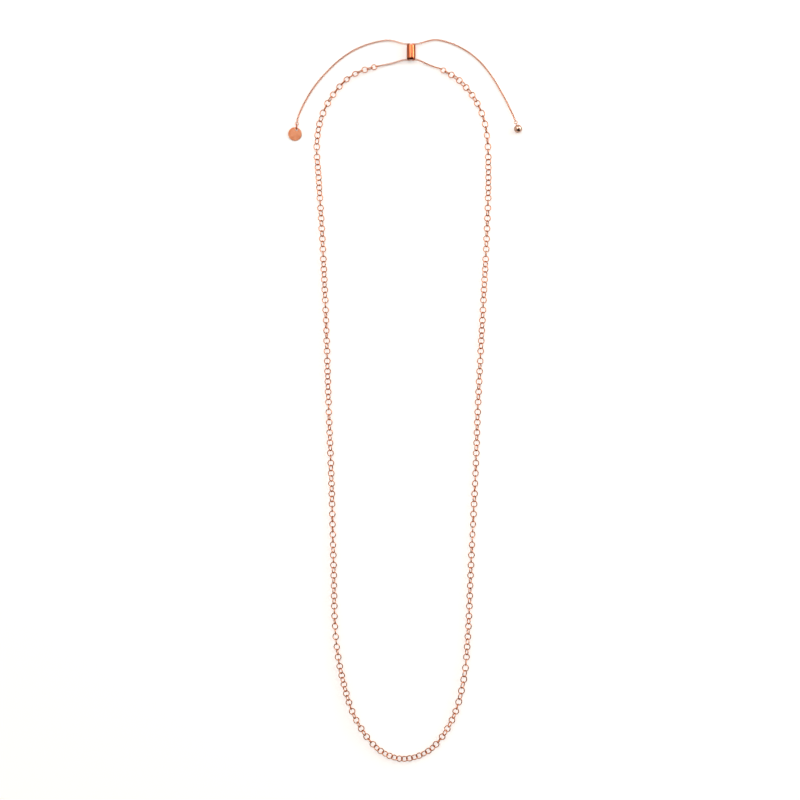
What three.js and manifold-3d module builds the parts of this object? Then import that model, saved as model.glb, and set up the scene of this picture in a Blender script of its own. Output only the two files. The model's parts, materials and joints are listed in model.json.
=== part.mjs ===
// A slider necklace laid flat: a loop of round belcher links whose two ends meet, through a length of
// fine cable chain each, in a tubular slider. The fine chains pass through the slider's rubber grip
// and end in a disc tag on the left and a ball on the right.
// Millimetres. X runs to the right, Y towards the slider, and Z up from the surface it lies on.
// The origin is on that surface, under the middle of the necklace.
import * as THREE from "three";
import { mergeVertices } from "three/addons/utils/BufferGeometryUtils.js";
import Module from "manifold-3d";

const wasm = await Module();
wasm.setup();

// ---------------------------------------------------------------- driving dimensions

// Belcher links of the loop.
const LINK_WIRE = 0.42;
const LINK_WIDTH = 3.3;
const LINK_PITCH = 2.55;
const LINK_PLAY = 0.16; // between the bars of two runs that turn on each other
const LINK_BITE = 0.05; // how far the soldered links inside one run sit in each other

// Links of the fine cable chain.
const FINE_WIRE = 0.27;
const FINE_WIDTH = 1.05;
const FINE_LENGTH = 1.6;
const FINE_PLAY = 0.12;

// Jump rings: one at each end of the loop, a small one that closes a fine chain, one on the tag.
const END_RING = { outer: 3.0, wire: 0.42 };
const CLOSING_RING = { outer: 1.9, wire: 0.3 };
const TAG_RING = { outer: 3.3, wire: 0.42 };
const RING_PLAY = 0.12;

// Slider: a metal sleeve round a rubber grip with a bore for each fine chain.
const SLEEVE_LENGTH = 6.55;
const SLEEVE_WALL = 0.35;
const SLEEVE_EDGE = 0.12;
const SLEEVE_X = 3.55;
const SLEEVE_MIDDLE_Y = 173.9;
const GRIP_SETBACK = 0.9; // from the sleeve's mouth to the grip inside it
const GRIP_CLEARANCE = 0.04;
const GRIP_SKIN = 0.185; // rubber between a bore and the sleeve
const BORE_WALL = 0.25; // rubber between the two bores
const BORE_CLEARANCE = 0.2; // all round the chain in its bore
const MOUTH_GAP = 0.17; // between the sleeve's rim and a chain that turns away from it

// Disc tag and ball.
const TAG_DIAMETER = 6.7;
const TAG_THICKNESS = 0.55;
const TAG_HOLE = 1.3;
const TAG_HOLE_INSET = 1.02; // from the disc's rim to the middle of its hole
const TAG_HOLE_TURN = THREE.MathUtils.degToRad(22.7); // how far the disc hangs turned on its ring
const TAG_TILT = THREE.MathUtils.degToRad(7); // the disc leans on the wire under its rim
const BALL_DIAMETER = 4;
const BALL_NECK = 0.75; // from the bar that the ball turns on to its surface

// The loop's middle line on the surface, from the left end ring round the bottom to the right one.
const LOOP_ROUTE = [
  [-15, 166.4], [-22, 164.2], [-29, 160], [-37.2, 150], [-41.7, 140], [-43.6, 128], [-42.6, 110],
  [-40.8, 80], [-39, 40], [-37.8, 0], [-36.3, -40], [-35.3, -80], [-34, -120], [-30.6, -140],
  [-23.9, -160], [-12.3, -175], [-0.5, -179.4], [12.8, -175], [24, -160], [29.8, -140],
  [31.8, -120], [33.6, -80], [35.6, -40], [37.1, 0], [39.2, 40], [41.3, 80], [42.2, 110],
  [41.7, 130], [40, 140], [35.7, 150], [27.4, 160], [19.7, 164.8],
];
const LOOP_BOTTOM = 16; // the lowest point of the route

// Lines across the necklace where a run of links turns on the one before, from the top down.
const FOLD_LINES = [147, 125, 99.5, 74, 48.5, 23, -2.5, -28, -53.5, -79, -104.5, -130, -152.5, -169.5];

// The fine chains beyond the slider. A point without a height lies on the surface.
const LEFT_TAIL_ROUTE = [
  [-7.8, 180, 0.9], [-16.5, 178.6], [-25.3, 175], [-32.6, 170], [-37.9, 165], [-42.5, 160],
  [-46.2, 155], [-49.2, 150], [-51.7, 145], [-53.3, 140.7, 0.8], [-53.7, 137.5, 1.3],
];
const RIGHT_TAIL_ROUTE = [
  [15.3, 180.3, 0.9], [23, 178.8], [31, 175], [37.4, 170], [41.8, 165], [45.3, 160],
  [48.2, 155], [51, 150], [53.4, 145, 0.8], [55, 141.3, 1.3], [56.1, 138.1, BALL_DIAMETER / 2],
];
const FINE_LIFT = 0.07; // of the fine chain's links off the surface
const LEG_LIFT = 0.2; // of a fine chain's middle, between the slider and its end ring
const TAIL_RUNS = 3;

// Fineness of the round shapes.
const FINE_SIDES = 6;
const FINE_STEP = 2.4;
const ROUND_SIDES = 24;
const BORE_SIDES = 12;
const RING_SIDES = 6;
const RING_STEPS = 16;
const SMALL_RING_STEPS = 12;
const DISC_SIDES = 36;
const BALL_SIDES = 18;
const BALL_BANDS = 12;
const LINK_SIDES = 6;
const SAME_POINT = 1e-5; // points nearer than this are one point

// ---------------------------------------------------------------- what follows from them

const LOOP_HEIGHT = LINK_WIDTH / 2;
const FINE_RADIUS = FINE_WIDTH / 2;
const FINE_REST = FINE_RADIUS + FINE_LIFT;
const BORE_RADIUS = FINE_RADIUS + BORE_CLEARANCE;
const BORE_SPACING = 2 * BORE_RADIUS + BORE_WALL;
const GRIP_RADIUS = BORE_SPACING / 2 + BORE_RADIUS + GRIP_SKIN;
const SLEEVE_INNER = GRIP_RADIUS + GRIP_CLEARANCE;
const SLEEVE_RADIUS = SLEEVE_INNER + SLEEVE_WALL;
const MOUTH_Y = SLEEVE_MIDDLE_Y - SLEEVE_LENGTH / 2;
const TOP_Y = SLEEVE_MIDDLE_Y + SLEEVE_LENGTH / 2;
const LEG_Y = MOUTH_Y - MOUTH_GAP - FINE_RADIUS;
const TAIL_Y = TOP_Y + MOUTH_GAP + FINE_RADIUS;
const TAG_RING_RADIUS = (TAG_RING.outer - TAG_RING.wire) / 2;
const UP = new THREE.Vector3(0, 0, 1);

const ROSE_GOLD = { color: 0xd9957a, metalness: 1 };
const MATERIALS = {
  chain: () => new THREE.MeshStandardMaterial({ ...ROSE_GOLD, roughness: 0.28 }),
  polished: () => new THREE.MeshStandardMaterial({ ...ROSE_GOLD, roughness: 0.18 }),
  tag: () => new THREE.MeshStandardMaterial({ ...ROSE_GOLD, roughness: 0.35 }),
  rubber: () => new THREE.MeshStandardMaterial({ color: 0x6b2a1c, roughness: 0.7, metalness: 0 }),
};

const necklace = new THREE.Group();

function addPiece(name, geometry, material) {
  const piece = new THREE.Mesh(geometry, material());
  piece.name = name;
  necklace.add(piece);
  return piece;
}

// The bar that a piece turns on: its middle, and its direction.
function turnsOn(piece, point, direction) {
  piece.userData.pivot = { point: point.toArray(), direction: direction.toArray() };
}

// ---------------------------------------------------------------- joining closed shapes

function solidOf(geometry) {
  const bare = new THREE.BufferGeometry();
  bare.setAttribute("position", geometry.getAttribute("position"));
  bare.setIndex(geometry.index);
  const merged = mergeVertices(bare, SAME_POINT);
  const vertProperties = merged.getAttribute("position").array;
  const triVerts = new Uint32Array(merged.index.array);
  return new wasm.Manifold(new wasm.Mesh({ numProp: 3, vertProperties, triVerts }));
}

function joined(geometries) {
  const whole = geometries.map(solidOf).reduce((sum, next) => sum.add(next));
  const mesh = whole.getMesh();
  const geometry = new THREE.BufferGeometry();
  geometry.setAttribute("position", new THREE.BufferAttribute(mesh.vertProperties, 3));
  geometry.setIndex(new THREE.BufferAttribute(mesh.triVerts, 1));
  geometry.computeVertexNormals();
  return geometry;
}

function circle(radius, sides, x = 0, y = 0) {
  const points = [];
  for (let i = 0; i < sides; i += 1) {
    const angle = (2 * Math.PI * i) / sides;
    points.push(new THREE.Vector2(x + radius * Math.cos(angle), y + radius * Math.sin(angle)));
  }
  return points;
}

// ---------------------------------------------------------------- routes and links

// A smooth line through the points, measured by the length along it.
class Route {
  constructor(points) {
    const through = points.map(([x, y, z]) => new THREE.Vector3(x, y, z));
    this.curve = new THREE.CatmullRomCurve3(through, false, "centripetal");
    this.curve.arcLengthDivisions = 4000;
    this.length = this.curve.getLength();
  }

  at(distance) {
    const share = THREE.MathUtils.clamp(distance / this.length, 0, 1);
    const point = this.curve.getPointAt(share);
    const tangent = this.curve.getTangentAt(share);
    // past its ends the route goes straight on
    point.addScaledVector(tangent, distance - share * this.length);
    return { point, tangent };
  }

  // The distance, between two others, at which the route crosses the line y.
  crossing(y, from, to) {
    const falls = this.at(from).point.y > this.at(to).point.y;
    let [low, high] = [from, to];
    while (high - low > 1e-6) {
      const middle = (low + high) / 2;
      const before = this.at(middle).point.y > y === falls;
      [low, high] = before ? [middle, high] : [low, middle];
    }
    return low;
  }
}

function sideways(tangent) {
  return new THREE.Vector3().crossVectors(UP, tangent).normalize();
}

// Moves a ring that was made round Y, with Z along the chain, to a point of its route.
function placed(geometry, { point, tangent }, edgeOn) {
  const side = sideways(tangent);
  const normal = edgeOn ? side : new THREE.Vector3().crossVectors(tangent, side);
  const across = new THREE.Vector3().crossVectors(normal, tangent);
  const matrix = new THREE.Matrix4().makeBasis(across, normal, tangent).setPosition(point);
  return geometry.applyMatrix4(matrix);
}

// A link with flat ends, whose wire is thinnest where the next link bears on it.
function link(length, width, wire, at, edgeOn) {
  const outer = width / 2;
  const apex = new THREE.Vector2(outer - wire, 0);
  const profile = [
    apex,
    new THREE.Vector2(outer, -wire / 2),
    new THREE.Vector2(outer, wire / 2),
    apex,
  ];
  const geometry = new THREE.LatheGeometry(profile, LINK_SIDES, Math.PI / LINK_SIDES);
  geometry.scale(1, 1, 1 / Math.cos(Math.PI / LINK_SIDES));
  // stretched from its middle, so that the wire at its ends keeps its thickness
  const position = geometry.getAttribute("position");
  for (let i = 0; i < position.count; i += 1) {
    const z = position.getZ(i);
    if (Math.abs(z) > SAME_POINT) position.setZ(i, z + (Math.sign(z) * (length - width)) / 2);
  }
  return placed(geometry, at, edgeOn);
}

function ring({ outer, wire }, at, edgeOn, steps = RING_STEPS) {
  const geometry = new THREE.TorusGeometry((outer - wire) / 2, wire / 2, RING_SIDES, steps);
  geometry.rotateX(Math.PI / 2);
  return placed(geometry, at, edgeOn);
}

// ---------------------------------------------------------------- the loop

// The links of a run, edge-on and flat by turns. `first` is the middle of the first one's near bar,
// and `last` the middle of the last one's far bar.
function linkRun(route, first, last, count) {
  const pitch = (last - first - LINK_WIRE + LINK_BITE) / count;
  const length = pitch + 2 * LINK_WIRE - LINK_BITE;
  const links = [];
  for (let i = 0; i < count; i += 1) {
    const middle = first + (length - LINK_WIRE) / 2 + i * pitch;
    links.push(link(length, LINK_WIDTH, LINK_WIRE, route.at(middle), i % 2 === 0));
  }
  return joined(links);
}

const evenCount = (length) => 2 * Math.round(length / LINK_PITCH / 2);
const oddCount = (length) => evenCount(length - LINK_PITCH) + 1;

// One side of the loop, from its end ring down to the bottom run.
function addSide(side, route) {
  const endBar = (END_RING.outer - END_RING.wire) / 2;
  const endReach = (END_RING.wire + LINK_WIRE) / 2;
  addPiece(`${side}_end_ring`, ring(END_RING, route.at(0), false), MATERIALS.chain);
  const lowest = route.length * LOOP_BOTTOM_SHARE[side];
  const bars = [endBar, ...FOLD_LINES.map((y) => route.crossing(y, 0, lowest))];
  for (let i = 0; i + 1 < bars.length; i += 1) {
    const first = bars[i] - (i === 0 ? endReach : LINK_WIRE) - LINK_PLAY;
    const count = evenCount(bars[i + 1] - bars[i]);
    const name = i === 0 ? `${side}_shoulder_links` : `${side}_links_${String(i).padStart(2, "0")}`;
    const run = addPiece(name, linkRun(route, first, bars[i + 1], count), MATERIALS.chain);
    if (i > 0) turnsOn(run, route.at(bars[i]).point, new THREE.Vector3(1, 0, 0));
  }
  return bars.at(-1);
}

const onSurface = LOOP_ROUTE.map(([x, y]) => [x, y, LOOP_HEIGHT]);
const loop = { left: new Route(onSurface), right: new Route([...onSurface].reverse()) };
const bottomShare = new Route(onSurface.slice(0, LOOP_BOTTOM + 1)).length / loop.left.length;
const LOOP_BOTTOM_SHARE = { left: bottomShare, right: 1 - bottomShare };

function addBottom(leftBar, rightBar) {
  const first = leftBar - LINK_WIRE - LINK_PLAY;
  const last = loop.left.length - rightBar + LINK_WIRE + LINK_PLAY;
  const links = linkRun(loop.left, first, last, oddCount(last - first));
  const run = addPiece("bottom_links", links, MATERIALS.chain);
  turnsOn(run, loop.left.at(leftBar).point, new THREE.Vector3(1, 0, 0));
}

addBottom(addSide("left", loop.left), addSide("right", loop.right));

// ---------------------------------------------------------------- fine chain

// A round bar along part of a route, which stands for the fine links between two ends.
function core(route, from, to) {
  const steps = Math.max(2, Math.round((to - from) / FINE_STEP));
  const points = [];
  for (let i = 0; i <= steps; i += 1) points.push(route.at(from + ((to - from) * i) / steps).point);
  return new THREE.ExtrudeGeometry(new THREE.Shape(circle(FINE_RADIUS, FINE_SIDES)), {
    steps,
    bevelEnabled: false,
    extrudePath: new THREE.CatmullRomCurve3(points, false, "centripetal"),
  });
}

// A fine link whose far bar is at `bar`, or whose near bar is, when it is the first of a run.
function fineLink(route, bar, isFirst) {
  const half = (FINE_LENGTH - FINE_WIRE) / 2;
  const at = route.at(isFirst ? bar + half : bar - half);
  return link(FINE_LENGTH, FINE_WIDTH, FINE_WIRE, at, isFirst);
}

const closingHalf = (CLOSING_RING.outer - CLOSING_RING.wire) / 2;

function closingRing(route, bar, edgeOn) {
  return ring(CLOSING_RING, route.at(bar - closingHalf), edgeOn, SMALL_RING_STEPS);
}

// The fine chain from the slider to an end ring, which its closing ring stands through.
function addLeg(side, direction, mainRoute) {
  const start = SLEEVE_X + direction * (BORE_SPACING / 2 - FINE_RADIUS);
  const { point: ringMiddle, tangent } = mainRoute.at(0);
  const nearBar = ringMiddle.clone().addScaledVector(tangent, -(END_RING.outer - END_RING.wire) / 2);
  const outX = SLEEVE_X + direction * (SLEEVE_RADIUS + 2 * FINE_RADIUS);
  const midX = (outX + nearBar.x) / 2;
  const midY = (LEG_Y + nearBar.y) / 2;
  const route = new Route([
    [start, LEG_Y, SLEEVE_RADIUS],
    [outX, LEG_Y, SLEEVE_RADIUS],
    [midX, midY, FINE_REST + LEG_LIFT],
    nearBar.toArray(),
  ]);
  const bar = route.length + (END_RING.wire + CLOSING_RING.wire) / 2 + RING_PLAY;
  const geometry = joined([
    core(route, 0, bar - 2 * closingHalf),
    closingRing(route, bar, true),
  ]);
  const leg = addPiece(`${side}_fine_chain`, geometry, MATERIALS.chain);
  turnsOn(leg, route.at(0).point, new THREE.Vector3(1, 0, 0));
}

// The stretch of fine chain inside the slider.
function addInnerChain(side, direction) {
  const x = SLEEVE_X + (direction * BORE_SPACING) / 2;
  const route = new Route([
    [x, TOP_Y - MOUTH_GAP, SLEEVE_RADIUS],
    [x, MOUTH_Y + MOUTH_GAP, SLEEVE_RADIUS],
  ]);
  addPiece(`${side}_chain_in_slider`, core(route, 0, route.length), MATERIALS.chain);
}

// The fine chain beyond the slider, in runs that turn on each other's last bar.
function addTail(side, direction, beyond) {
  const start = SLEEVE_X + direction * (BORE_SPACING / 2 - FINE_RADIUS);
  const outX = SLEEVE_X + direction * (SLEEVE_RADIUS + 2 * FINE_RADIUS);
  const route = new Route([
    [start, TAIL_Y, SLEEVE_RADIUS],
    [outX, TAIL_Y, SLEEVE_RADIUS],
    ...beyond.map(([x, y, height = FINE_REST]) => [x, y, height]),
  ]);
  for (let i = 0; i < TAIL_RUNS; i += 1) {
    const from = (route.length * i) / TAIL_RUNS;
    const to = (route.length * (i + 1)) / TAIL_RUNS;
    const isLast = i === TAIL_RUNS - 1;
    const near = from - FINE_WIRE - FINE_PLAY;
    const coreFrom = i === 0 ? 0 : near + FINE_LENGTH - FINE_WIRE;
    const coreTo = isLast ? to - 2 * closingHalf : to - FINE_LENGTH + FINE_WIRE;
    const pieces = [core(route, coreFrom, coreTo)];
    if (i > 0) pieces.push(fineLink(route, near, true));
    pieces.push(isLast ? closingRing(route, to, false) : fineLink(route, to, false));
    const run = addPiece(`${side}_tail_${i + 1}`, joined(pieces), MATERIALS.chain);
    const { point, tangent } = route.at(from);
    turnsOn(run, point, i === 0 ? new THREE.Vector3(1, 0, 0) : sideways(tangent));
  }
  return route;
}

addLeg("left", -1, loop.left);
addLeg("right", 1, loop.right);
addInnerChain("left", -1);
addInnerChain("right", 1);
const leftTail = addTail("left", -1, LEFT_TAIL_ROUTE);
const rightTail = addTail("right", 1, RIGHT_TAIL_ROUTE);

// ---------------------------------------------------------------- slider

function sleeveGeometry() {
  const half = SLEEVE_LENGTH / 2;
  const profile = [
    new THREE.Vector2(SLEEVE_INNER, -half),
    new THREE.Vector2(SLEEVE_RADIUS - SLEEVE_EDGE, -half),
    new THREE.Vector2(SLEEVE_RADIUS, -half + SLEEVE_EDGE),
    new THREE.Vector2(SLEEVE_RADIUS, half - SLEEVE_EDGE),
    new THREE.Vector2(SLEEVE_RADIUS - SLEEVE_EDGE, half),
    new THREE.Vector2(SLEEVE_INNER, half),
    new THREE.Vector2(SLEEVE_INNER, -half),
  ];
  return new THREE.LatheGeometry(profile, ROUND_SIDES);
}

function gripGeometry() {
  const length = SLEEVE_LENGTH - 2 * GRIP_SETBACK;
  const shape = new THREE.Shape(circle(GRIP_RADIUS, ROUND_SIDES));
  for (const direction of [-1, 1]) {
    const x = (direction * BORE_SPACING) / 2;
    shape.holes.push(new THREE.Path(circle(BORE_RADIUS, BORE_SIDES, x)));
  }
  const geometry = new THREE.ExtrudeGeometry(shape, { depth: length, bevelEnabled: false });
  return geometry.translate(0, 0, -length / 2).rotateX(Math.PI / 2);
}

const sleeve = addPiece("slider_sleeve", sleeveGeometry(), MATERIALS.polished);
sleeve.position.set(SLEEVE_X, SLEEVE_MIDDLE_Y, SLEEVE_RADIUS);
const grip = addPiece("slider_grip", gripGeometry(), MATERIALS.rubber);
grip.position.copy(sleeve.position);

// ---------------------------------------------------------------- tag and ball

// The tag's ring stands on the surface, round the bar of the left chain's closing ring.
function addTagRing() {
  const bar = leftTail.at(leftTail.length).point;
  const reach = TAG_RING_RADIUS - (TAG_RING.wire + CLOSING_RING.wire) / 2 - RING_PLAY;
  const height = TAG_RING.outer / 2;
  const drop = height - bar.z;
  const middle = new THREE.Vector3(bar.x, bar.y - Math.sqrt(reach ** 2 - drop ** 2), height);
  const at = { point: middle, tangent: new THREE.Vector3(0, -1, 0) };
  const piece = addPiece("tag_ring", ring(TAG_RING, at, true), MATERIALS.polished);
  turnsOn(piece, bar, new THREE.Vector3(1, 0, 0));
  return middle;
}

// The disc, whose far edge rests on the surface. It swings round the ring, so on the ring's middle.
function addTag(ringMiddle) {
  const radius = TAG_DIAMETER / 2;
  const holeX = (radius - TAG_HOLE_INSET) * Math.sin(TAG_HOLE_TURN);
  const holeY = (radius - TAG_HOLE_INSET) * Math.cos(TAG_HOLE_TURN);
  const shape = new THREE.Shape(circle(radius, DISC_SIDES));
  shape.holes.push(new THREE.Path(circle(TAG_HOLE / 2, BORE_SIDES, holeX, holeY)));
  const disc = new THREE.ExtrudeGeometry(shape, { depth: TAG_THICKNESS, bevelEnabled: false });
  disc.rotateX(TAG_TILT);
  const lift = radius * Math.sin(TAG_TILT);
  // the wire passes the middle of the disc's thickness in the middle of its hole
  const holeHeight = lift + holeY * Math.sin(TAG_TILT) + (TAG_THICKNESS / 2) * Math.cos(TAG_TILT);
  const wireY = -Math.sqrt(TAG_RING_RADIUS ** 2 - (ringMiddle.z - holeHeight) ** 2);
  const piece = addPiece("disc_tag", disc, MATERIALS.tag);
  const middleY = ringMiddle.y + wireY - holeY * Math.cos(TAG_TILT);
  piece.position.set(ringMiddle.x - holeX, middleY, lift);
  turnsOn(piece, ringMiddle, new THREE.Vector3(1, 0, 0));
}

// The ball, with the loop that it hangs from.
function addBall() {
  const bar = rightTail.length;
  const { point, tangent } = rightTail.at(bar);
  const radius = BALL_DIAMETER / 2;
  const sphere = new THREE.SphereGeometry(radius, BALL_SIDES, BALL_BANDS);
  const middle = rightTail.at(bar + BALL_NECK + radius).point;
  sphere.translate(middle.x, middle.y, radius);
  const loopBar = bar - (CLOSING_RING.wire + FINE_WIRE) / 2 - FINE_PLAY;
  const piece = addPiece("ball", joined([sphere, fineLink(rightTail, loopBar, true)]), MATERIALS.polished);
  turnsOn(piece, point, sideways(tangent));
}

addTag(addTagRing());
addBall();

export default necklace;
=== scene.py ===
"""A slider necklace laid flat on a white table, with every link of its chains.

Each run of links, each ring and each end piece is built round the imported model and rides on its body.
Sizes are in millimetres until a mesh is made, which is in metres.
"""

import json
import math
import random

import bpy
import numpy as np
from mathutils import Matrix, Vector


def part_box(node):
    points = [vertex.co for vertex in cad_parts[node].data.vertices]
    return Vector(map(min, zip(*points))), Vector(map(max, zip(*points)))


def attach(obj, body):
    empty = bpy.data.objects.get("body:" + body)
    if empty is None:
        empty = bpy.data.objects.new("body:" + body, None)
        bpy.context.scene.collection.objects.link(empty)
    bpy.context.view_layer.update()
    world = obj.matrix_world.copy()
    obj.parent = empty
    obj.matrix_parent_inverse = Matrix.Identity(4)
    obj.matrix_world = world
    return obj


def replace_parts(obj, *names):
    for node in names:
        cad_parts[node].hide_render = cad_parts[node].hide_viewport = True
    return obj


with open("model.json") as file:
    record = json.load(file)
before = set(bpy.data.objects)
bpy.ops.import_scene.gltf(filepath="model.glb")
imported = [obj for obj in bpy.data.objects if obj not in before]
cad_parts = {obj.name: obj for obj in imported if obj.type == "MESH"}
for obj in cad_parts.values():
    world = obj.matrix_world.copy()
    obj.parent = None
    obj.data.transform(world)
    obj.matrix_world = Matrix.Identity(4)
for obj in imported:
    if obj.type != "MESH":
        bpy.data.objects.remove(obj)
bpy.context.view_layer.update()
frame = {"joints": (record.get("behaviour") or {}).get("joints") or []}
SEED = 7  # of the small random turns of the links
random.seed(SEED)

MM = 0.001
UP = np.array([0.0, 0.0, 1.0])


def cad_box(node):
    """A CAD node's lowest and highest corner, in millimetres."""
    low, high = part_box(node)
    return np.array(low) / MM, np.array(high) / MM


# ---------------------------------------------------------------- sizes that the CAD model has too

LINK_WIRE = 0.42
LINK_WIDTH = 3.3
LINK_PITCH = 2.55
LINK_PLAY = 0.16
FINE_WIRE = 0.27
FINE_WIDTH = 1.05
FINE_PITCH = 1.06
FINE_PLAY = 0.12
LINK_SLACK = 0.03  # between the bars of two links of one run
END_RING = (3.0, 0.42)
CLOSING_RING = (1.9, 0.3)
TAG_RING = (3.3, 0.42)
RING_PLAY = 0.12
MOUTH_GAP = 0.17
LEG_LIFT = 0.2
FINE_LIFT = 0.07
TAIL_RUNS = 3
BORE_WALL = 0.25
BORE_CLEARANCE = 0.2
BALL_DIAMETER = 4.0
BALL_NECK = 0.75
TAG_HOLE = 1.3
TAG_HOLE_INSET = 1.02
TAG_HOLE_TURN = math.radians(22.7)
TAG_TILT = math.radians(7)
TAG_THICKNESS = 0.55

LINK_HEIGHT = LINK_WIDTH / 2
FINE_RADIUS = FINE_WIDTH / 2
FINE_REST = FINE_RADIUS + FINE_LIFT
BORE_RADIUS = FINE_RADIUS + BORE_CLEARANCE
BORE_SPACING = 2 * BORE_RADIUS + BORE_WALL

SLEEVE_LOW, SLEEVE_HIGH = cad_box("slider_sleeve")
SLEEVE_MIDDLE = (SLEEVE_LOW + SLEEVE_HIGH) / 2
SLEEVE_RADIUS = (SLEEVE_HIGH[2] - SLEEVE_LOW[2]) / 2
GRIP_LOW, GRIP_HIGH = cad_box("slider_grip")
MOUTH_Y, TOP_Y = SLEEVE_LOW[1], SLEEVE_HIGH[1]
LEG_Y = MOUTH_Y - MOUTH_GAP - FINE_RADIUS
TAIL_Y = TOP_Y + MOUTH_GAP + FINE_RADIUS

# The loop's middle line, from the left end ring round the bottom to the right one.
LOOP_ROUTE = [
    (-15, 166.4), (-22, 164.2), (-29, 160), (-37.2, 150), (-41.7, 140), (-43.6, 128), (-42.6, 110),
    (-40.8, 80), (-39, 40), (-37.8, 0), (-36.3, -40), (-35.3, -80), (-34, -120), (-30.6, -140),
    (-23.9, -160), (-12.3, -175), (-0.5, -179.4), (12.8, -175), (24, -160), (29.8, -140),
    (31.8, -120), (33.6, -80), (35.6, -40), (37.1, 0), (39.2, 40), (41.3, 80), (42.2, 110),
    (41.7, 130), (40, 140), (35.7, 150), (27.4, 160), (19.7, 164.8),
]
LOOP_BOTTOM = 16
FOLD_LINES = [147, 125, 99.5, 74, 48.5, 23, -2.5, -28, -53.5, -79, -104.5, -130, -152.5, -169.5]
LEFT_TAIL_ROUTE = [
    (-7.8, 180, 0.9), (-16.5, 178.6), (-25.3, 175), (-32.6, 170), (-37.9, 165), (-42.5, 160),
    (-46.2, 155), (-49.2, 150), (-51.7, 145), (-53.3, 140.7, 0.8), (-53.7, 137.5, 1.3),
]
RIGHT_TAIL_ROUTE = [
    (15.3, 180.3, 0.9), (23, 178.8), (31, 175), (37.4, 170), (41.8, 165), (45.3, 160),
    (48.2, 155), (51, 150), (53.4, 145, 0.8), (55, 141.3, 1.3), (56.1, 138.1, BALL_DIAMETER / 2),
]

# ---------------------------------------------------------------- the look of the links

FLAT_TILT = 8  # degrees at most, of the links that show their faces
EDGE_TILT = (52, 66)  # degrees, of the links between them
LEAST_TWIST = 41  # degrees between two links, under which their wires would meet
SWAY = 26  # degrees at most, that the middle of a run has turned as a whole
FINE_LEAN = 18  # degrees, that the links inside a fine run have turned together
ROPE_LEAN = 40  # the same on the right tail, which looks like a rope
FINE_TURN = 7  # degrees at most, that this grows by from one fine link to the next
SOLDER = 0.08  # how much thicker a link is at its soldered joint, in the middle of one long side
SOLDER_SPREAD = 0.16  # radians round the link
# The first link outside each mouth of the slider rolls on the last one inside, so both have more room
# than other fine links. Each has its own width and wire.
MOUTH_LINK = (1.4, 0.23)
INNER_END_LINK = (1.3, FINE_WIRE)
MOUTH_SLACK = 0.15  # between those two links, along the slider
MOUTH_SHIFT = 0.06  # and across it
LINK_SIDES, LINK_STEPS = 10, 28
FINE_SIDES, FINE_STEPS = 8, 16
RING_SIDES, RING_STEPS = 12, 40


# ---------------------------------------------------------------- routes


class Route:
    """A centripetal Catmull-Rom line through points, measured by the length along it."""

    SAMPLES = 4000
    NEAR = 1e-4  # share of the route, either way, over which a direction is taken
    EXACT = 1e-6

    def __init__(self, points):
        inner = [np.array(p, float) for p in points]
        first = 2 * inner[0] - inner[1]
        last = 2 * inner[-1] - inner[-2]
        self.points = np.array([first, *inner, last])
        self.spans = len(inner) - 1
        self.shares = np.linspace(0, 1, self.SAMPLES + 1)
        places = self.place(self.shares)
        steps = np.linalg.norm(np.diff(places, axis=0), axis=1)
        self.lengths = np.concatenate([[0.0], np.cumsum(steps)])
        self.length = self.lengths[-1]

    def place(self, share):
        """The points at these shares of the spans, 0 to 1."""
        position = np.atleast_1d(np.clip(share, 0, 1)) * self.spans
        span = np.minimum(position.astype(int), self.spans - 1)
        t = (position - span)[:, None]
        p0, p1, p2, p3 = (self.points[span + k] for k in range(4))
        d0, d1, d2 = (
            np.linalg.norm(b - a, axis=1)[:, None] ** 0.5 for a, b in ((p0, p1), (p1, p2), (p2, p3))
        )
        leave = ((p1 - p0) / d0 - (p2 - p0) / (d0 + d1) + (p2 - p1) / d1) * d1
        arrive = ((p2 - p1) / d1 - (p3 - p1) / (d1 + d2) + (p3 - p2) / d2) * d1
        square = -3 * p1 + 3 * p2 - 2 * leave - arrive
        cube = 2 * p1 - 2 * p2 + leave + arrive
        return p1 + leave * t + square * t**2 + cube * t**3

    def at(self, distance):
        """The point and the direction at a distance along the route, straight on past its ends."""
        inside = min(max(distance, 0.0), self.length)
        share = float(np.interp(inside, self.lengths, self.shares))
        ends = self.place(np.array([max(share - self.NEAR, 0), min(share + self.NEAR, 1)]))
        direction = (ends[1] - ends[0]) / np.linalg.norm(ends[1] - ends[0])
        return self.place(share)[0] + direction * (distance - inside), direction

    def crossing(self, y, to):
        """The first distance, up to another, at which the route crosses the line y going down."""
        low, high = 0.0, to
        while high - low > self.EXACT:
            middle = (low + high) / 2
            if self.at(middle)[0][1] > y:
                low = middle
            else:
                high = middle
        return low


def sideways(direction):
    side = np.cross(UP, direction)
    return side / np.linalg.norm(side)


# ---------------------------------------------------------------- meshes


class Shape:
    """Vertices and faces of one piece, gathered from closed shapes."""

    def __init__(self):
        self.vertices, self.faces = [], []

    def add(self, vertices, faces):
        offset = len(self.vertices)
        self.vertices += [tuple(v) for v in vertices]
        self.faces += [tuple(i + offset for i in face) for face in faces]
        return self

    def piece(self, name, material, slot, body, replaces=()):
        """Makes the piece, which rides on a body and stands for some CAD nodes."""
        mesh = bpy.data.meshes.new(name)
        mesh.from_pydata([Vector(v) * MM for v in self.vertices], [], self.faces)
        mesh.polygons.foreach_set("use_smooth", [True] * len(mesh.polygons))
        mesh.materials.append(material)
        mesh.update()
        piece = bpy.data.objects.new(name, mesh)
        bpy.context.scene.collection.objects.link(piece)
        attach(piece, body)
        if replaces:
            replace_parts(piece, *replaces)
        return piece


def tube_faces(steps, sides):
    """The faces of a tube that closes on itself after some steps."""
    faces = []
    for i in range(steps):
        for k in range(sides):
            a, b = i * sides, (i + 1) % steps * sides
            beside = (k + 1) % sides
            faces.append((a + k, b + k, b + beside, a + beside))
    return faces


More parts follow.
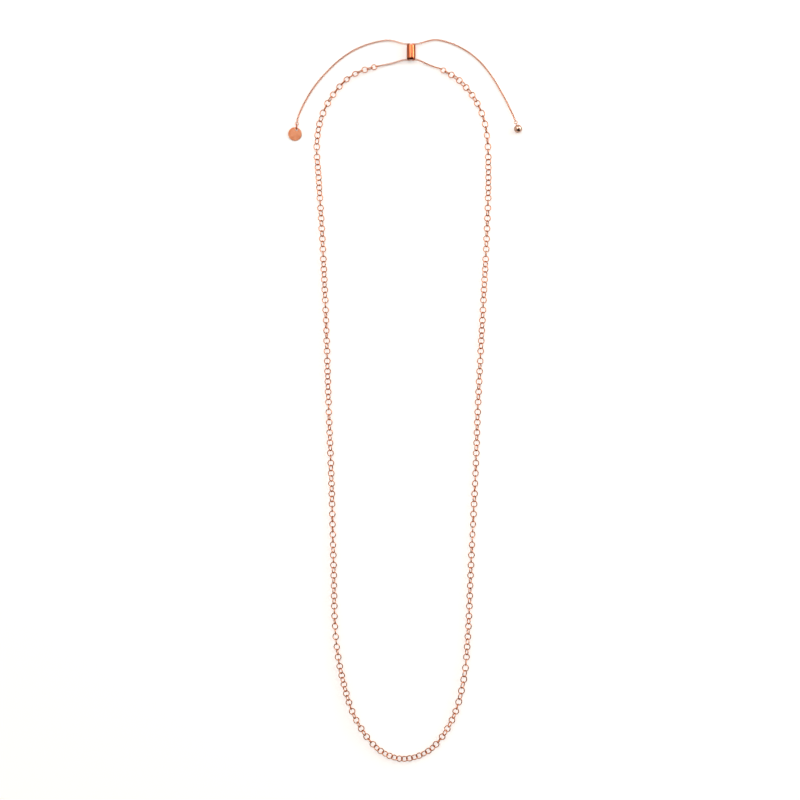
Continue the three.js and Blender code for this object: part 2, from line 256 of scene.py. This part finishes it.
def add_link(shape, centre, along, tilt, size, sides, steps):
    """A closed oval link of a size (length, width, wire).

    tilt is its turn about the chain, 0 where it lies flat.
    """
    length, width, wire = size
    side = sideways(along)
    rise = np.cross(along, side)
    across = side * math.cos(tilt) + rise * math.sin(tilt)
    normal = np.cross(along, across)
    reach, spread = (length - wire) / 2, (width - wire) / 2
    vertices = []
    for i in range(steps):
        turn = 2 * math.pi * i / steps
        out = along * math.cos(turn) / reach + across * math.sin(turn) / spread
        out = out / np.linalg.norm(out)
        middle = centre + along * reach * math.cos(turn) + across * spread * math.sin(turn)
        swell = 1 + SOLDER * math.exp(-(((turn - math.pi / 2) / SOLDER_SPREAD) ** 2))
        for k in range(sides):
            angle = 2 * math.pi * k / sides
            off = out * math.cos(angle) + normal * math.sin(angle)
            vertices.append(middle + off * wire / 2 * swell)
    shape.add(vertices, tube_faces(steps, sides))


def edge_on(index):
    return index % 2 == 0


def even_count(reach, pitch):
    return 2 * round(reach / pitch / 2)


def stations(first, last, count, wire):
    """The middles and the length of so many links between the bar `first` and the bar `last`."""
    step = (last - first - wire - LINK_SLACK) / count
    length = step + 2 * wire + LINK_SLACK
    return [first + (length - wire) / 2 + i * step for i in range(count)], length


def run_tilts(count, last_upright):
    """Each link's turn about the chain, in degrees: upright at the start, flat or upright at the end."""
    lean = random.choice((-1, 1))
    sway = random.uniform(-SWAY, SWAY)
    tilts = [90 * lean]
    for i in range(1, count):
        share = math.sin(math.pi * i / (count - 1))
        if i == count - 1:
            tilt = 90 * lean if last_upright else 0
        elif edge_on(i):
            tilt = lean * random.uniform(*EDGE_TILT) + sway * share
        else:
            tilt = random.uniform(-FLAT_TILT, FLAT_TILT) + sway * share
        tilts.append(tilt)
    for i in range(1, count - 1):
        for other in (tilts[i - 1], tilts[i + 1]):
            short = LEAST_TWIST - abs(tilts[i] - other)
            if short > 0:
                tilts[i] += short if tilts[i] > other else -short
    return tilts


def add_run(shape, route, first, last, count):
    """The loop's links between two bars."""
    middles, length = stations(first, last, count, LINK_WIRE)
    for distance, tilt in zip(middles, run_tilts(count, count % 2 == 1)):
        point, along = route.at(distance)
        size = (length, LINK_WIDTH, LINK_WIRE)
        add_link(shape, point, along, math.radians(tilt), size, LINK_SIDES, LINK_STEPS)


def add_fine_run(shape, route, first, last, ends, first_upright=True, count_odd=False, turned=FINE_LEAN):
    """Fine links between two bars, upright and flat by turns.

    ends gives the width and wire of single links, by place in the run: 0 is the first, -1 the last.
    """
    count = even_count(last - first, FINE_PITCH) + count_odd
    middles, length = stations(first, last, count, FINE_WIRE)
    hand = random.choice((-1, 1))
    for i, distance in enumerate(middles):
        point, along = route.at(distance)
        upright = edge_on(i) == first_upright
        lean = min(turned, FINE_TURN * min(i, count - 1 - i))
        tilt = 90 * upright + hand * lean
        width, wire = ends.get(i) or ends.get(i - count) or (FINE_WIDTH, FINE_WIRE)
        size = (length, width, wire)
        add_link(shape, point, along, math.radians(tilt), size, FINE_SIDES, FINE_STEPS)


def add_ring(shape, centre, along, size, upright):
    outer, wire = size
    tilt = math.pi / 2 if upright else 0
    add_link(shape, centre, along, tilt, (outer, outer, wire), RING_SIDES, RING_STEPS)


# ---------------------------------------------------------------- materials

PLATING_STOPS = (0.3, 0.7)  # noise at which plating is deepest and palest
WEAR_DETAIL = 6
WEAR_DEPTH = 0.00002  # metres, of the relief in metal
BRUSHED_AT = math.radians(35)
BRUSH_SCALE = (600, 14000, 600)  # patches per metre: along the strokes, across them and through the disc
BRUSH_DETAIL = 4
BRUSH_RELIEF = 0.25
SATIN_PATCH = 450
SATIN_STOPS = [(0.35, (0.88, 0.40, 0.23)), (0.6, (0.98, 0.52, 0.33))]
SATIN_ROUGHNESS = (0.26, 0.42)
SILICONE_PATCH = 9000
SILICONE_STOPS = [(0.35, (0.10, 0.022, 0.012)), (0.65, (0.16, 0.038, 0.020))]
SILICONE_ROUGHNESS = (0.55, 0.75)
SILICONE_RELIEF = 0.3
SILICONE_DEPTH = 0.00003


def nodes_of(material):
    material.use_nodes = True
    tree = material.node_tree
    return tree, tree.nodes["Principled BSDF"]


def noise(tree, scale, detail=3.0):
    """A noise pattern in the piece's own coordinates. scale is in patches per metre."""
    place = tree.nodes.new("ShaderNodeTexCoord")
    pattern = tree.nodes.new("ShaderNodeTexNoise")
    pattern.inputs["Scale"].default_value = scale
    pattern.inputs["Detail"].default_value = detail
    tree.links.new(place.outputs["Object"], pattern.inputs["Vector"])
    return pattern.outputs["Fac"]


def ramp(tree, value, stops):
    """Colours by value. stops are (place, colour) pairs."""
    made = tree.nodes.new("ShaderNodeValToRGB")
    elements = made.color_ramp.elements
    while len(elements) < len(stops):
        elements.new(0.5)
    for element, (place, colour) in zip(elements, stops):
        element.position = place
        element.color = (*colour, 1)
    tree.links.new(value, made.inputs["Fac"])
    return made.outputs["Color"]


def mapped(tree, value, low, high):
    made = tree.nodes.new("ShaderNodeMapRange")
    made.inputs["To Min"].default_value = low
    made.inputs["To Max"].default_value = high
    tree.links.new(value, made.inputs["Value"])
    return made.outputs["Result"]


def bumped(tree, shader, height, strength, depth):
    bump = tree.nodes.new("ShaderNodeBump")
    bump.inputs["Strength"].default_value = strength
    bump.inputs["Distance"].default_value = depth
    tree.links.new(height, bump.inputs["Height"])
    tree.links.new(bump.outputs["Normal"], shader.inputs["Normal"])


def rose_gold(name, pale, deep, roughness, patch, scratch, relief):
    """Plated rose gold: its colour drifts over patches, and fine wear roughens it."""
    material = bpy.data.materials.new(name)
    tree, shader = nodes_of(material)
    shader.inputs["Metallic"].default_value = 1
    colour = ramp(tree, noise(tree, patch), list(zip(PLATING_STOPS, (deep, pale))))
    tree.links.new(colour, shader.inputs["Base Color"])
    wear = noise(tree, scratch, WEAR_DETAIL)
    tree.links.new(mapped(tree, wear, *roughness), shader.inputs["Roughness"])
    bumped(tree, shader, wear, relief, WEAR_DEPTH)
    return material


def brushed_disc():
    """The tag's satin face, brushed in one direction."""
    material = bpy.data.materials.new("satin_rose_gold")
    tree, shader = nodes_of(material)
    shader.inputs["Metallic"].default_value = 1
    place = tree.nodes.new("ShaderNodeTexCoord")
    stretch = tree.nodes.new("ShaderNodeMapping")
    stretch.inputs["Rotation"].default_value = (0, 0, BRUSHED_AT)
    stretch.inputs["Scale"].default_value = BRUSH_SCALE
    tree.links.new(place.outputs["Object"], stretch.inputs["Vector"])
    grain = tree.nodes.new("ShaderNodeTexNoise")
    grain.inputs["Scale"].default_value = 1
    grain.inputs["Detail"].default_value = BRUSH_DETAIL
    tree.links.new(stretch.outputs["Vector"], grain.inputs["Vector"])
    colour = ramp(tree, noise(tree, SATIN_PATCH), SATIN_STOPS)
    tree.links.new(colour, shader.inputs["Base Color"])
    roughness = mapped(tree, grain.outputs["Fac"], *SATIN_ROUGHNESS)
    tree.links.new(roughness, shader.inputs["Roughness"])
    bumped(tree, shader, grain.outputs["Fac"], BRUSH_RELIEF, WEAR_DEPTH)
    return material


def silicone():
    """The dull, dark rose rubber of the grip."""
    material = bpy.data.materials.new("silicone")
    tree, shader = nodes_of(material)
    speck = noise(tree, SILICONE_PATCH)
    colour = ramp(tree, speck, SILICONE_STOPS)
    tree.links.new(colour, shader.inputs["Base Color"])
    tree.links.new(mapped(tree, speck, *SILICONE_ROUGHNESS), shader.inputs["Roughness"])
    bumped(tree, shader, speck, SILICONE_RELIEF, SILICONE_DEPTH)
    return material


CHAIN = rose_gold(
    "chain_rose_gold",
    pale=(0.93, 0.51, 0.33),
    deep=(0.84, 0.39, 0.24),
    roughness=(0.14, 0.28),
    patch=160,
    scratch=5000,
    relief=0.15,
)
POLISHED = rose_gold(
    "polished_rose_gold",
    pale=(0.86, 0.36, 0.20),
    deep=(0.78, 0.29, 0.15),
    roughness=(0.12, 0.24),
    patch=300,
    scratch=7000,
    relief=0.06,
)
# The ball's rose-gold hue is its own, but its paleness is a painted reflection: it stands in for the white
# surroundings that the polished ball reflects.
PALE_PAINTED_REFLECTION = rose_gold(
    "rose_gold_painted_reflection",
    pale=(0.98, 0.74, 0.62),
    deep=(0.96, 0.66, 0.53),
    roughness=(0.22, 0.34),
    patch=300,
    scratch=7000,
    relief=0.06,
)
SATIN = brushed_disc()
RUBBER = silicone()

# ---------------------------------------------------------------- the loop

FLAT_ROUTE = [(x, y, LINK_HEIGHT) for x, y in LOOP_ROUTE]
LOOP = {"left": Route(FLAT_ROUTE), "right": Route(FLAT_ROUTE[::-1])}
LEFT_SHARE = Route(FLAT_ROUTE[: LOOP_BOTTOM + 1]).length / LOOP["left"].length
LOW_SHARE = {"left": LEFT_SHARE, "right": 1 - LEFT_SHARE}
END_REACH = (END_RING[0] - END_RING[1]) / 2


def make_side(side):
    """One side of the loop. Returns the bar that the bottom run turns on."""
    route = LOOP[side]
    centre, along = route.at(0)
    ring = Shape()
    add_ring(ring, centre, along, END_RING, False)
    shoulder = f"{side}_shoulder"
    ring.piece(f"{side}_jump_ring", CHAIN, "chain_metal", shoulder, [f"{side}_end_ring"])
    lowest = route.length * LOW_SHARE[side]
    bars = [END_REACH, *(route.crossing(y, lowest) for y in FOLD_LINES)]
    for i, (bar, last) in enumerate(zip(bars, bars[1:])):
        gap = (END_RING[1] + LINK_WIRE) / 2 if i == 0 else LINK_WIRE
        node = f"{side}_links_{i:02d}" if i else f"{side}_shoulder_links"
        run = Shape()
        add_run(run, route, bar - gap - LINK_PLAY, last, even_count(last - bar, LINK_PITCH))
        run.piece(f"{node}_rings", CHAIN, "chain_metal", node if i else shoulder, [node])
    return bars[-1]


def make_bottom(left_bar, right_bar):
    route = LOOP["left"]
    first = left_bar - LINK_WIRE - LINK_PLAY
    last = route.length - right_bar + LINK_WIRE + LINK_PLAY
    run = Shape()
    add_run(run, route, first, last, even_count(last - first - LINK_PITCH, LINK_PITCH) + 1)
    run.piece("bottom_links_rings", CHAIN, "chain_metal", "bottom_links", ["bottom_links"])


make_bottom(make_side("left"), make_side("right"))

# ---------------------------------------------------------------- fine chain

CLOSING_HALF = (CLOSING_RING[0] - CLOSING_RING[1]) / 2
CLOSING_BITE = (CLOSING_RING[1] + FINE_WIRE) / 2 + LINK_SLACK
OUT_REACH = SLEEVE_RADIUS + 2 * FINE_RADIUS
SLEEVE_X = SLEEVE_MIDDLE[0]
DIRECTION = {"left": -1, "right": 1}


def mouth_points(side, y):
    """Where a fine chain turns away from its bore, and where it has passed the sleeve's rim."""
    toward = DIRECTION[side]
    start = SLEEVE_X + toward * (BORE_SPACING / 2 - FINE_RADIUS)
    return [(start, y, SLEEVE_RADIUS), (SLEEVE_X + toward * OUT_REACH, y, SLEEVE_RADIUS)]


def make_leg(side):
    """The fine chain from the slider to an end ring."""
    centre, along = LOOP[side].at(0)
    near_bar = centre - along * END_REACH
    points = mouth_points(side, LEG_Y)
    middle = ((points[1][0] + near_bar[0]) / 2, (LEG_Y + near_bar[1]) / 2, FINE_REST + LEG_LIFT)
    route = Route([*points, middle, near_bar])
    bar = route.length + (END_RING[1] + CLOSING_RING[1]) / 2 + RING_PLAY
    leg = Shape()
    last = bar - 2 * CLOSING_HALF + CLOSING_BITE
    add_fine_run(leg, route, FINE_RADIUS - MOUTH_SHIFT, last, {0: MOUTH_LINK})
    ring_centre, ring_along = route.at(bar - CLOSING_HALF)
    add_ring(leg, ring_centre, ring_along, CLOSING_RING, True)
    node = f"{side}_fine_chain"
    leg.piece(f"{side}_leg_links", CHAIN, "chain_metal", f"{side}_shoulder", [node])


def make_inner_chain(side):
    """The links inside the slider, from the first link of the tail to the first of the leg."""
    x = SLEEVE_X + DIRECTION[side] * BORE_SPACING / 2
    reach = FINE_WIRE + LINK_SLACK + MOUTH_SLACK
    route = Route([(x, TAIL_Y + reach, SLEEVE_RADIUS), (x, LEG_Y - reach, SLEEVE_RADIUS)])
    inner = Shape()
    ends = {0: INNER_END_LINK, -1: INNER_END_LINK}
    add_fine_run(inner, route, 0, route.length, ends, first_upright=False, count_odd=True)
    node = f"{side}_chain_in_slider"
    inner.piece(f"{side}_inner_links", CHAIN, "chain_metal", f"{side}_strand", [node])


def make_tail(side, beyond, turned):
    """The fine chain beyond the slider, in runs that turn on each other's last bar."""
    points = [(p[0], p[1], p[2] if len(p) == 3 else FINE_REST) for p in beyond]
    route = Route([*mouth_points(side, TAIL_Y), *points])
    for i in range(TAIL_RUNS):
        first = route.length * i / TAIL_RUNS - FINE_WIRE - FINE_PLAY if i else FINE_RADIUS - MOUTH_SHIFT
        last = route.length * (i + 1) / TAIL_RUNS
        closes = i == TAIL_RUNS - 1
        run = Shape()
        if closes:
            centre, along = route.at(last - CLOSING_HALF)
            add_ring(run, centre, along, CLOSING_RING, False)
            last += CLOSING_BITE - 2 * CLOSING_HALF
        ends = {} if i else {0: MOUTH_LINK}
        add_fine_run(run, route, first, last, ends, count_odd=closes, turned=turned)
        node = f"{side}_tail_{i + 1}"
        run.piece(f"{node}_links", CHAIN, "chain_metal", node, [node])
    return route


for side in ("left", "right"):
    make_leg(side)
    make_inner_chain(side)
LEFT_TAIL = make_tail("left", LEFT_TAIL_ROUTE, FINE_LEAN)
RIGHT_TAIL = make_tail("right", RIGHT_TAIL_ROUTE, ROPE_LEAN)

# ---------------------------------------------------------------- slider

RIM_ROUNDING = 0.11
GRIP_ROUNDING = 0.08
GRIP_CLEARANCE = 0.04
SLEEVE_SIDES = 96
CORNER_STEPS = 6
PLATE_SIDES, HOLE_SIDES, BEVEL_STEPS = 96, 40, 4


def arc(x, y, radius, start, end):
    """Points round a corner's centre, the angles in degrees."""
    steps = range(CORNER_STEPS + 1)
    angles = [math.radians(start + (end - start) * i / CORNER_STEPS) for i in steps]
    return [(x + radius * math.cos(a), y + radius * math.sin(a)) for a in angles]


def lathe(profile, centre, sides):
    """A closed profile of (radius, place along Y), turned round an axis along Y."""
    vertices = []
    for i in range(sides):
        turn = 2 * math.pi * i / sides
        for radius, y in profile:
            vertices.append(centre + np.array([radius * math.sin(turn), y, radius * math.cos(turn)]))
    return vertices, tube_faces(sides, len(profile))


def make_sleeve():
    """A tube with rolled rims."""
    half = (TOP_Y - MOUTH_Y) / 2
    inner = (GRIP_HIGH[2] - GRIP_LOW[2]) / 2 + GRIP_CLEARANCE
    outer, r = SLEEVE_RADIUS, RIM_ROUNDING
    profile = [
        *arc(outer - r, half - r, r, 0, 90),
        *arc(inner + r, half - r, r, 90, 180),
        *arc(inner + r, r - half, r, 180, 270),
        *arc(outer - r, r - half, r, 270, 360),
    ]
    sleeve = Shape().add(*lathe(profile, SLEEVE_MIDDLE, SLEEVE_SIDES))
    sleeve.piece("sleeve_tube", POLISHED, "slider_metal", "slider", ["slider_sleeve"])


def plate(name, outline, holes, thickness, bevel):
    """A mesh of a round plate with round holes and rounded edges, its middle at the origin.

    outline is its radius, and holes are (x, y, radius).
    """
    curve = bpy.data.curves.new(name, "CURVE")
    curve.dimensions, curve.fill_mode = "2D", "BOTH"
    curve.extrude = (thickness / 2 - bevel) * MM
    curve.bevel_depth, curve.bevel_resolution = bevel * MM, BEVEL_STEPS
    rounds = [(0, 0, outline - bevel, PLATE_SIDES)]
    rounds += [(x, y, r + bevel, HOLE_SIDES) for x, y, r in holes]
    for x, y, radius, sides in rounds:
        spline = curve.splines.new("POLY")
        spline.points.add(sides - 1)
        for i, point in enumerate(spline.points):
            turn = 2 * math.pi * i / sides
            point.co = ((x + radius * math.cos(turn)) * MM, (y + radius * math.sin(turn)) * MM, 0, 1)
        spline.use_cyclic_u = True
    holder = bpy.data.objects.new(name, curve)
    bpy.context.scene.collection.objects.link(holder)
    bpy.context.view_layer.update()
    mesh = bpy.data.meshes.new_from_object(holder.evaluated_get(bpy.context.evaluated_depsgraph_get()))
    bpy.data.objects.remove(holder)
    mesh.polygons.foreach_set("use_smooth", [True] * len(mesh.polygons))
    return mesh


def add_piece(name, mesh, material, body, node):
    """A piece from a mesh that is already in its place."""
    mesh.materials.clear()
    mesh.materials.append(material)
    piece = bpy.data.objects.new(name, mesh)
    bpy.context.scene.collection.objects.link(piece)
    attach(piece, body)
    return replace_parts(piece, node)


def make_grip():
    """The silicone plug inside the sleeve, with a bore for each chain."""
    radius = (GRIP_HIGH[2] - GRIP_LOW[2]) / 2
    holes = [(k * BORE_SPACING / 2, 0, BORE_RADIUS) for k in (-1, 1)]
    mesh = plate("grip_plug", radius, holes, GRIP_HIGH[1] - GRIP_LOW[1], GRIP_ROUNDING)
    mesh.transform(Matrix.Translation(Vector(SLEEVE_MIDDLE) * MM) @ Matrix.Rotation(math.pi / 2, 4, "X"))
    add_piece("grip_plug", mesh, RUBBER, "slider", "slider_grip")


make_sleeve()
make_grip()

# ---------------------------------------------------------------- tag and ball

TAG_ROUNDING = 0.12
BALL_SIDES, BALL_BANDS = 64, 32
BALL_LOOP = (1.6, 1.15, 0.27)
COLLAR = (0.95, 0.95, 0.24)
COLLAR_DEPTH = 0.97  # of the ball's radius, from its middle to the collar
SMALL_SIDES, SMALL_STEPS = 10, 32


def make_tag():
    """The tag's ring, upright round the bar of the closing ring, and the disc on it."""
    joint = {j["name"]: np.array(j["pos_m"]) / MM for j in frame["joints"] if "pos_m" in j}
    centre = joint["tag_flip"]
    ring = Shape()
    add_ring(ring, centre, np.array([0.0, -1.0, 0.0]), TAG_RING, True)
    ring.piece("tag_jump_ring", POLISHED, "chain_metal", "tag_ring", ["tag_ring"])
    low, high = cad_box("disc_tag")
    radius = (high[0] - low[0]) / 2
    inset = radius - TAG_HOLE_INSET
    hole = (inset * math.sin(TAG_HOLE_TURN), inset * math.cos(TAG_HOLE_TURN), TAG_HOLE / 2)
    mesh = plate("tag_disc", radius, [hole], TAG_THICKNESS, TAG_ROUNDING)
    lean = Matrix.Rotation(TAG_TILT, 4, "X")
    middle = Vector((low + high) / 2) * MM
    mesh.transform(Matrix.Translation(middle) @ lean)
    add_piece("tag_disc", mesh, SATIN, "disc_tag", "disc_tag")


def make_ball():
    """A polished ball with a collar, hung on a loop."""
    route = RIGHT_TAIL
    radius = BALL_DIAMETER / 2
    bar = route.length
    loop_bar = bar - CLOSING_BITE - FINE_PLAY + LINK_SLACK
    middle, along = route.at(bar + BALL_NECK + radius)
    middle[2] = radius
    ball = Shape()
    bands = [math.pi * i / BALL_BANDS for i in range(BALL_BANDS + 1)]
    profile = [(radius * math.sin(a), -radius * math.cos(a)) for a in bands]
    ball.add(*globe(profile, middle, along, BALL_SIDES))
    collar = middle - along * radius * COLLAR_DEPTH
    add_link(ball, collar, sideways(along), math.pi / 2, COLLAR, SMALL_SIDES, SMALL_STEPS)
    loop_middle, loop_along = route.at(loop_bar + (BALL_LOOP[0] - BALL_LOOP[2]) / 2)
    add_link(ball, loop_middle, loop_along, math.pi / 2, BALL_LOOP, SMALL_SIDES, SMALL_STEPS)
    ball.piece("end_ball", PALE_PAINTED_REFLECTION, "slider_metal", "ball", ["ball"])


def globe(profile, middle, axis, sides):
    """A sphere from its (radius, height) bands, round an axis, closed at both poles."""
    side = sideways(axis)
    rise = np.cross(axis, side)
    inner = profile[1:-1]
    vertices = [middle + axis * profile[0][1], middle + axis * profile[-1][1]]
    for radius, height in inner:
        for k in range(sides):
            turn = 2 * math.pi * k / sides
            out = side * math.cos(turn) + rise * math.sin(turn)
            vertices.append(middle + axis * height + out * radius)
    faces = []
    for k in range(sides):
        beside = (k + 1) % sides
        last = 2 + (len(inner) - 1) * sides
        faces.append((0, 2 + beside, 2 + k))
        faces.append((1, last + k, last + beside))
        for i in range(len(inner) - 1):
            a, b = 2 + i * sides, 2 + (i + 1) * sides
            faces.append((a + k, a + beside, b + beside, b + k))
    return vertices, faces


make_tag()
make_ball()

# ---------------------------------------------------------------- table, light and camera

DARK_SIDE = (0.35, -0.6, 0.72)  # the direction in which the studio is dark
DARK_STOPS = (0.0, 0.50, 0.80)  # cosines of the angle to that direction
STUDIO_COLOURS = ((0.62, 0.60, 0.58), (0.48, 0.46, 0.44), (0.04, 0.035, 0.03))
BACKDROP = (0.92, 0.92, 0.92, 1)
TABLE_REACH = 12  # metres from the middle to an edge
TABLE_DROP = 0.00001  # metres under the necklace, so that nothing lies in the table's own plane
# painted bounce light: the warm tint shows as peach where the table is shaded, standing in for light from
# the rose-gold chain
TABLE_COLOUR_PAINTED_BOUNCE = (0.86, 0.84, 0.825, 1)
TABLE_ROUGHNESS = 0.9
TABLE_SHINE = 0.1
# the same warm tint of painted bounce light from the rose-gold chain, in the table's glow
GLOW_COLOUR_PAINTED_BOUNCE = (1, 0.975, 0.96, 1)
TABLE_GLOW = 0.48  # makes the table white where it is seen, and leaves it grey in the metal
VIEW_GAMMA = 0.7  # deepens thin wires against the white
CAMERA_HEIGHT = 0.72
VIEW_SIDE = 0.4  # the length that the square picture shows, at the chain's height
VIEW_CENTRE = (-0.002, 0.0)


def make_table():
    """A plain white table, far wider than any view of the necklace. Its slight warm tint is painted light:
    where the table is shaded it turns peach, standing in for light that the rose-gold chain bounces onto
    it.
    """
    mesh = bpy.data.meshes.new("table")
    quarters = ((-1, -1), (1, -1), (1, 1), (-1, 1))
    mesh.from_pydata([(x * TABLE_REACH, y * TABLE_REACH, 0) for x, y in quarters], [], [(0, 1, 2, 3)])
    table = bpy.data.objects.new("table", mesh)
    table.location.z = -TABLE_DROP
    bpy.context.scene.collection.objects.link(table)
    material = bpy.data.materials.new("table_white_painted_bounce")
    tree, shader = nodes_of(material)
    shader.inputs["Base Color"].default_value = TABLE_COLOUR_PAINTED_BOUNCE
    shader.inputs["Roughness"].default_value = TABLE_ROUGHNESS
    shader.inputs["Specular IOR Level"].default_value = TABLE_SHINE
    shader.inputs["Emission Color"].default_value = GLOW_COLOUR_PAINTED_BOUNCE
    ray = tree.nodes.new("ShaderNodeLightPath")
    seen = mapped(tree, ray.outputs["Is Camera Ray"], 0, TABLE_GLOW)
    tree.links.new(seen, shader.inputs["Emission Strength"])
    mesh.materials.append(material)


def make_world():
    """A studio, nearly white where it is seen. The metal finds it dark round DARK_SIDE, pale elsewhere."""
    world = bpy.data.worlds.new("studio")
    bpy.context.scene.world = world
    world.use_nodes = True
    tree = world.node_tree
    place = tree.nodes.new("ShaderNodeTexCoord")
    ahead = tree.nodes.new("ShaderNodeVectorMath")
    ahead.operation = "DOT_PRODUCT"
    ahead.inputs[1].default_value = Vector(DARK_SIDE).normalized()
    tree.links.new(place.outputs["Generated"], ahead.inputs[0])
    colour = ramp(tree, ahead.outputs["Value"], list(zip(DARK_STOPS, STUDIO_COLOURS)))
    ray = tree.nodes.new("ShaderNodeLightPath")
    seen = tree.nodes.new("ShaderNodeMix")
    seen.data_type = "RGBA"
    tree.links.new(ray.outputs["Is Camera Ray"], seen.inputs["Factor"])
    tree.links.new(colour, seen.inputs["A"])
    seen.inputs["B"].default_value = BACKDROP
    tree.links.new(seen.outputs["Result"], tree.nodes["Background"].inputs["Color"])


def add_light(name, place, size, power):
    """A rectangular light that faces the middle. place and size are in metres, power in watts."""
    data = bpy.data.lights.new(name, "AREA")
    data.shape = "RECTANGLE"
    data.size, data.size_y = size
    data.energy = power
    light = bpy.data.objects.new(name, data)
    light.location = place
    light.rotation_euler = (-Vector(place)).to_track_quat("-Z", "Y").to_euler()
    bpy.context.scene.collection.objects.link(light)


def make_camera():
    """A camera straight above the necklace, as in the photograph."""
    data = bpy.data.cameras.new("camera")
    data.lens = data.sensor_width * (CAMERA_HEIGHT - LINK_HEIGHT * MM) / VIEW_SIDE
    camera = bpy.data.objects.new("camera", data)
    camera.location = (*VIEW_CENTRE, CAMERA_HEIGHT)
    bpy.context.scene.collection.objects.link(camera)
    bpy.context.scene.camera = camera


make_table()
make_world()
add_light("key", place=(0.85, 0.6, 0.75), size=(0.8, 0.8), power=3)
add_light("side", place=(1.0, 0.25, 0.42), size=(1.5, 0.3), power=3.5)
add_light("fill", place=(-0.4, 0.6, 1.5), size=(1.4, 1.4), power=8.5)
make_camera()
bpy.context.scene.view_settings.view_transform = "Standard"
bpy.context.scene.view_settings.gamma = VIEW_GAMMA
